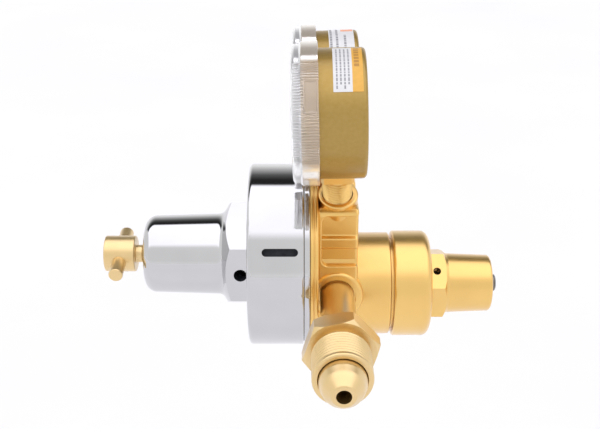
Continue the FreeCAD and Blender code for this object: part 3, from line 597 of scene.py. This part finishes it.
# ------------------------------------------------------------ gauge covers
COVER_R, COVER_BACK = 28.3, -7.25
RIB_PITCH, RIB_STEPS = 2.4, 6              # degrees, and mesh steps per rib
RIB_ARC = 84.0                             # ribs on each half turn, degrees; a smooth pad fills the rest
RIB_HEIGHT = 0.6
RIB_GAIN, RIB_CUT = 1.6, 0.3               # flats on the ribs and between them
PAD_HEIGHT, PAD_RISE = 0.3, 0.9            # height, and the degrees over which each end rises
STEP_X, LOW_RIBS = -14.2, 0.7              # in front of the step the relief is lower, by this factor
EDGE_X, SMOOTH_R = -16.6, 26.4             # the rounded front edge and the inside are smooth
BACK_EDGE_X = -7.35                        # so is the edge behind this
OUTLINE_ARC = (16.2, 42.6)                 # raised outline round a sunk panel among the ribs, degrees
OUTLINE_LINE = 1.25                        # width of its lines along the axis, degrees
OUTLINE_FRONT, OUTLINE_INNER, OUTLINE_BACK = -13.1, -12.5, -8.1
OUTLINE_RAISED, PANEL_SUNK = 0.12, -0.3
ROW_GAP = 0.03                             # rows this far either side of a line keep it crisp
COVER_TURN = {"near": 6.3, "far": 58.0}    # how far each cover is turned on its gauge, degrees

COVER_FINISHES = ("clear_cover", "clear_window", "clear_front")
RIBBED_SIDE, WINDOW, FRONT_RING = 0, 1, 2
WINDOW_R = 25.5                            # the clear window reaches this far out
FRONT_RING_X = -13.9                       # the front ring starts here


def crisp_line(x):
    """Two close rows of the cover's outline, one either side of a line round it."""
    return [(x + ROW_GAP, COVER_R), (x - ROW_GAP, COVER_R)]


# (x, radius) outline of the cover, from its back edge over the front to its inside
COVER_RIM = ([(COVER_BACK, 26.0), (COVER_BACK, 27.9), (-7.45, COVER_R)] + crisp_line(OUTLINE_BACK)
             + [(-10.5, COVER_R)] + crisp_line(OUTLINE_INNER) + crisp_line(OUTLINE_FRONT))
COVER_STEP = [(-13.8, COVER_R), (-14.0, 28.2), (-14.5, 27.65), (-14.75, 27.45), (-15.2, 27.4)]
COVER_EDGE = [(-16.5, 27.4), (-17.1, 27.23), (-17.55, 26.85), (-17.8, 26.4), (-17.9, 25.9)]
COVER_WINDOW = [(-17.9, 25.0), (-17.9, 12.0), (-17.9, 0.4), (-16.5, 0.4), (-16.5, 12.0), (-16.5, 24.0)]
COVER_INSIDE = [(-16.3, 24.6), (-15.9, 24.85), (-12.6, 24.85), (-12.6, 26.0)]
COVER_PROFILE = COVER_RIM + COVER_STEP + COVER_EDGE + COVER_WINDOW + COVER_INSIDE


def cover_relief(x, radius, degrees):
    """How far the ribs, pads and outline stand out from the cover's profile."""
    if radius < SMOOTH_R or x > BACK_EDGE_X:
        return 0.0
    share = 1.0 if x > STEP_X else (LOW_RIBS if x > EDGE_X else 0.0)
    angle = degrees % 180
    if angle > RIB_ARC:
        from_end = min(angle - RIB_ARC, 180 - angle)
        return PAD_HEIGHT * min(1, from_end / PAD_RISE) * share
    first, last = OUTLINE_ARC
    if first < angle < last and x > OUTLINE_FRONT:
        on_side = min(angle - first, last - angle) < OUTLINE_LINE
        on_line = on_side or x < OUTLINE_INNER or x > OUTLINE_BACK
        return OUTLINE_RAISED if on_line else PANEL_SUNK
    return -RIB_HEIGHT * share * flat_topped(triangle_wave(angle / RIB_PITCH), RIB_GAIN, RIB_CUT)


def cover_surface(place, turn):
    """Points and faces of the cover, closed like a ring about the gauge's X axis."""
    steps = round(360 / RIB_PITCH * RIB_STEPS)
    points, faces = [], []
    for x, profile_radius in COVER_PROFILE:
        for k in range(steps):
            around = 2 * math.pi * k / steps
            raised = cover_relief(x, profile_radius, math.degrees(-around) - turn)
            radius = (profile_radius + raised) * MM
            point = Vector((x * MM, radius * math.sin(around), radius * math.cos(around)))
            points.append(place @ point)
    rows = len(COVER_PROFILE)
    for row in range(rows):
        here, following = row * steps, (row + 1) % rows * steps
        for k in range(steps):
            after = (k + 1) % steps
            faces.append((here + k, following + k, following + after, here + after))
    return points, faces


def cover_finish(corners):
    """Which finish a face of the cover has, from its corners in the gauge frame."""
    if all(corner.yz.length < WINDOW_R * MM for corner in corners):
        return WINDOW
    if all(corner.x < FRONT_RING_X * MM for corner in corners):
        return FRONT_RING
    return RIBBED_SIDE


def make_cover(side):
    place = gauge_place(side)
    points, faces = cover_surface(place, COVER_TURN[side])
    inverse = place.inverted()
    local = [inverse @ point for point in points]
    finishes = [cover_finish([local[k] for k in face]) for face in faces]
    mesh = mesh_from(side + "_cover_mesh", points, faces, finishes)
    node = side + "_gauge_cover"
    add_piece(node + "_ribbed", mesh, "regulator", (node,), COVER_FINISHES, 25)


# ------------------------------------------------------------ gauge labels
LABEL_FINISHES = ("label_film", "label_orange", "label_ink", "label_red", "label_brown")
FILM, ORANGE, INK, RED, BROWN = range(5)

LABEL_R = 25.87                            # inside of the film, just clear of the case
FILM_THICK, INK_GAP, INK_THICK = 0.12, 0.004, 0.01
RED_BLOCK_END = 27.0                       # degrees from the far label's upper edge

# Along the gauge's X: the film's strips with their finishes, and the middles of the rows of
# dashes. In degrees: the upper edge from the top towards -Y, the label's arc, and where each
# row of dashes starts from the upper edge.
LABELS = {
    "near": {"start": -26.0, "arc": 57.5, "strips": ((-1.8, 5.4, FILM), (5.4, 9.5, ORANGE)),
             "rows": ((-0.4, 4), (1.1, 4), (2.6, 4), (4.1, 4)), "half_dash": 0.3},
    "far": {"start": -4.0, "arc": 64.0, "strips": ((-1.9, 9.2, FILM),),
            "rows": ((-0.9, 4), (1.7, 4), (5.2, RED_BLOCK_END + 10)), "half_dash": 0.5},
}
RED_BLOCK = (3.6, 8.9)                     # one block of colour on the far label, along X
RED_BLOCK_START = 0.5                      # degrees from the label's upper edge
BROWN_BLOCK, BROWN_COUNT = (6.2, 8.1), 7   # short blocks on the near label's orange strip, along X
BROWN_START, BROWN_PITCH, BROWN_ARC = 2, 4.6, 3.4     # degrees

ROW_END, RAGGED_END = 5, 3                 # clear film at a row's lower end, and more on every other row
SHORTEST_DASH, DASH_RANGE, DASH_GAP = 1.6, 1.9, 0.9   # degrees
DASH_LENGTHS = 5                           # dashes come in this many lengths
WRAP_STEP = 1.5                            # degrees between the mesh lines of a wrapped strip


def wrapped(place, radius, thickness, across, around, rows=2):
    """Points and faces of a thin strip wrapped round a cylinder.

    across is its span along the place's X; around is its span in degrees, from the top
    towards -Y."""
    (x0, x1), (first, last) = across, around
    steps = max(2, round(abs(last - first) / WRAP_STEP))
    points, faces = [], []
    for row in range(rows):
        x = (x0 + (x1 - x0) * row / (rows - 1)) * MM
        for k in range(steps + 1):
            turn = -math.radians(first + (last - first) * k / steps)
            for surface in (radius, radius + thickness):
                r = surface * MM
                points.append(place @ Vector((x, r * math.sin(turn), r * math.cos(turn))))
    width = 2 * (steps + 1)
    for row in range(rows - 1):
        for k in range(steps):
            a = row * width + 2 * k
            b, c, d = a + 2, a + width + 2, a + width
            faces.append((a + 1, b + 1, c + 1, d + 1))
            faces.append((d, c, b, a))
        for k in (0, steps):
            a = row * width + 2 * k
            d = a + width
            faces.append((a, a + 1, d + 1, d))
    for row in (0, rows - 1):
        for k in range(steps):
            a = row * width + 2 * k
            faces.append((a, a + 2, a + 3, a + 1))
    return points, faces


def dash_arcs(start, end, row):
    """Spans of one row's dashes in degrees, uneven like the words of small print."""
    around = []
    while start < end:
        size = (7 * len(around) + 5 * row) % DASH_LENGTHS / (DASH_LENGTHS - 1)
        length = SHORTEST_DASH + DASH_RANGE * size
        around.append((start, start + length))
        start += length + DASH_GAP
    return around


def label_blocks(side, start):
    """Blocks of plain colour: one red on the far label, seven brown on the near one."""
    if side == "far":
        return [(RED_BLOCK, (start + RED_BLOCK_START, start + RED_BLOCK_END), RED)]
    blocks = []
    for k in range(BROWN_COUNT):
        first = start + BROWN_START + BROWN_PITCH * k
        blocks.append((BROWN_BLOCK, (first, first + BROWN_ARC), BROWN))
    return blocks


def make_label(side):
    """Film with rows of plain dashes and blocks of colour where the print would be."""
    place = gauge_place(side)
    label = LABELS[side]
    start, half = label["start"], label["half_dash"]
    end = start + label["arc"]
    ink_radius = LABEL_R + FILM_THICK + INK_GAP
    parts = []
    for x0, x1, finish in label["strips"]:
        strip = wrapped(place, LABEL_R, FILM_THICK, (x0, x1), (start, end), 4)
        parts.append((*strip, finish))
    for row, (x, row_start) in enumerate(label["rows"]):
        row_end = end - ROW_END - RAGGED_END * (row % 2)
        for around in dash_arcs(start + row_start, row_end, row):
            dash = wrapped(place, ink_radius, INK_THICK, (x - half, x + half), around)
            parts.append((*dash, INK))
    for across, around, finish in label_blocks(side, start):
        parts.append((*wrapped(place, ink_radius, INK_THICK, across, around), finish))
    mesh = mesh_from(side + "_label_mesh", *merged(parts))
    node = side + "_gauge_label"
    add_piece(node + "_film", mesh, "regulator", (node,), LABEL_FINISHES, 60)


# ------------------------------------------------------------ gauge dials
DIAL_FACE, PRINT_LIFT = -11.9, 0.03        # the face along the gauge's X, and the print in front of it
SWING = 270.0                              # arc of the scale, degrees
DIALS = {"near": (40, 4, 5), "far": (60, 6, 5)}       # top number, numbered steps, ticks per step
SCALE_LINE = (21.9, 22.15)                 # inner and outer radius of the line that joins the ticks
LINE_STEP = 3.0                            # degrees
TICK_END = 22.1
LONG_TICK, SHORT_TICK = (19.4, 0.5), (20.6, 0.22)     # inner radius, width
NUMBER_R, DIGIT_HEIGHT, DIGIT_PITCH = 16.6, 2.9, 2.5
PRINT = 0                                  # the print has one finish

DIGIT_HALF, PEN = (0.27, 0.5), 0.05        # half its width and height, and half a stroke, over its height

# Strokes of a plain numeral from end to end: 0 and 1 are its left and right sides, then 0, 1
# and 2 its bottom, middle and top
STROKES = {"a": (0, 2, 1, 2), "b": (1, 1, 1, 2), "c": (1, 0, 1, 1), "d": (0, 0, 1, 0), "e": (0, 0, 0, 1),
           "f": (0, 1, 0, 2), "g": (0, 1, 1, 1)}
NUMERALS = {"0": "abcdef", "1": "bc", "2": "abged", "3": "abgcd", "4": "fgbc", "5": "afgcd", "6": "afgedc"}


def on_dial(place, y, z):
    """Point just in front of the dial's face."""
    return place @ Vector(((DIAL_FACE - PRINT_LIFT) * MM, y * MM, z * MM))


def round_dial(degrees, radius):
    """The y and z of a point, clockwise from the top as the dial is read."""
    turn = math.radians(degrees)
    return -radius * math.sin(turn), radius * math.cos(turn)


def dial_tick(place, degrees, start, width):
    """Flat radial bar from a start radius out to the scale's line."""
    points = []
    for radius, side in ((start, -1), (start, 1), (TICK_END, 1), (TICK_END, -1)):
        off = math.degrees(side * width / 2 / radius)
        points.append(on_dial(place, *round_dial(degrees + off, radius)))
    return points, [(0, 1, 2, 3)], PRINT


def dial_line(place):
    """Thin line round the whole scale."""
    steps = round(SWING / LINE_STEP)
    points, faces = [], []
    for k in range(steps + 1):
        degrees = -SWING / 2 + SWING * k / steps
        points += [on_dial(place, *round_dial(degrees, radius)) for radius in SCALE_LINE]
    for k in range(steps):
        a = 2 * k
        faces.append((a, a + 2, a + 3, a + 1))
    return points, faces, PRINT


def dial_digit(place, character, centre_y, centre_z):
    """One plain numeral from straight strokes, upright as the dial is read."""
    half_width, half_height = (share * DIGIT_HEIGHT for share in DIGIT_HALF)
    pen = PEN * DIGIT_HEIGHT
    parts = []
    for name in NUMERALS[character]:
        x0, y0, x1, y1 = STROKES[name]
        left, right = (2 * x0 - 1) * half_width - pen, (2 * x1 - 1) * half_width + pen
        low, high = (y0 - 1) * half_height - pen, (y1 - 1) * half_height + pen
        corners = ((left, low), (right, low), (right, high), (left, high))
        points = [on_dial(place, centre_y - across, centre_z + up) for across, up in corners]
        parts.append((points, [(0, 1, 2, 3)], PRINT))
    return parts


def dial_number(place, number, degrees):
    """Upright number inside its tick."""
    text = str(number)
    centre_y, centre_z = round_dial(degrees, NUMBER_R)
    parts = []
    for n, character in enumerate(text):
        shift = (n - (len(text) - 1) / 2) * DIGIT_PITCH
        parts += dial_digit(place, character, centre_y - shift, centre_z)
    return parts


def make_dial(side):
    """White plate with a generic scale printed on it."""
    place = gauge_place(side)
    node = side + "_gauge_dial"
    add_piece(node + "_plate", copy_of(node), "regulator", (node,), ("dial_white",), 30)
    top, numbered, ticks = DIALS[side]
    count = numbered * ticks
    parts = [dial_line(place)]
    for k in range(count + 1):
        degrees = SWING * (k / count - 0.5)
        is_long = k % ticks == 0
        parts.append(dial_tick(place, degrees, *(LONG_TICK if is_long else SHORT_TICK)))
        if is_long:
            parts += dial_number(place, top * k // count, degrees)
    mesh = mesh_from(side + "_dial_print_mesh", *merged(parts))
    add_piece(node + "_print", mesh, "regulator", (), ("dial_ink",), 30)


# ------------------------------------------------------------ gauge stems
SQUARE_BOTTOM = -32.75                     # underside of the spanner square on the gauge's Z axis
STEM_R, STEM_TAPER = 6.65, 0.5             # radius there, and how much less it is at the foot


def make_stem_thread(side):
    gauge = gauge_place(side)
    place = frame_of(gauge.translation, gauge.col[2].xyz, gauge.col[0].xyz)
    inverse = place.inverted()
    node = side + "_gauge_socket"
    foot = min((inverse @ vertex.co).x for vertex in NODES[node].data.vertices)
    threaded(node + "_thread", node, "regulator", "turned_brass", place,
             span=(foot / MM, SQUARE_BOTTOM), radii=(STEM_R - STEM_TAPER, STEM_R), pitch=1.411, depth=0.75)


def make_gauges():
    for side in ("near", "far"):
        make_cover(side)
        make_label(side)
        make_dial(side)
        make_stem_thread(side)


# ------------------------------------------------------------ springs
def make_springs():
    """Copies of the springs in spring steel, standing for their CAD nodes and riding on no body."""
    for joint in frame["record"]["behaviour"]["joints"]:
        for entry in joint.get("deforming_nodes", []):
            if "fixed_end_x_m" not in entry:
                continue
            node, fixed = entry["node"], entry["fixed_end_x_m"]
            mesh = copy_of(node)
            spring = add_piece(node + "_coil", mesh, None, (node,), ("spring_steel",), 40)
            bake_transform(spring)


make_camera()
make_floor()
make_world()
MATERIALS = make_materials()
dress_cad_nodes()
make_bonnet()
make_threads()
make_gauges()
make_springs()
bpy.context.scene.view_settings.view_transform = "Standard"
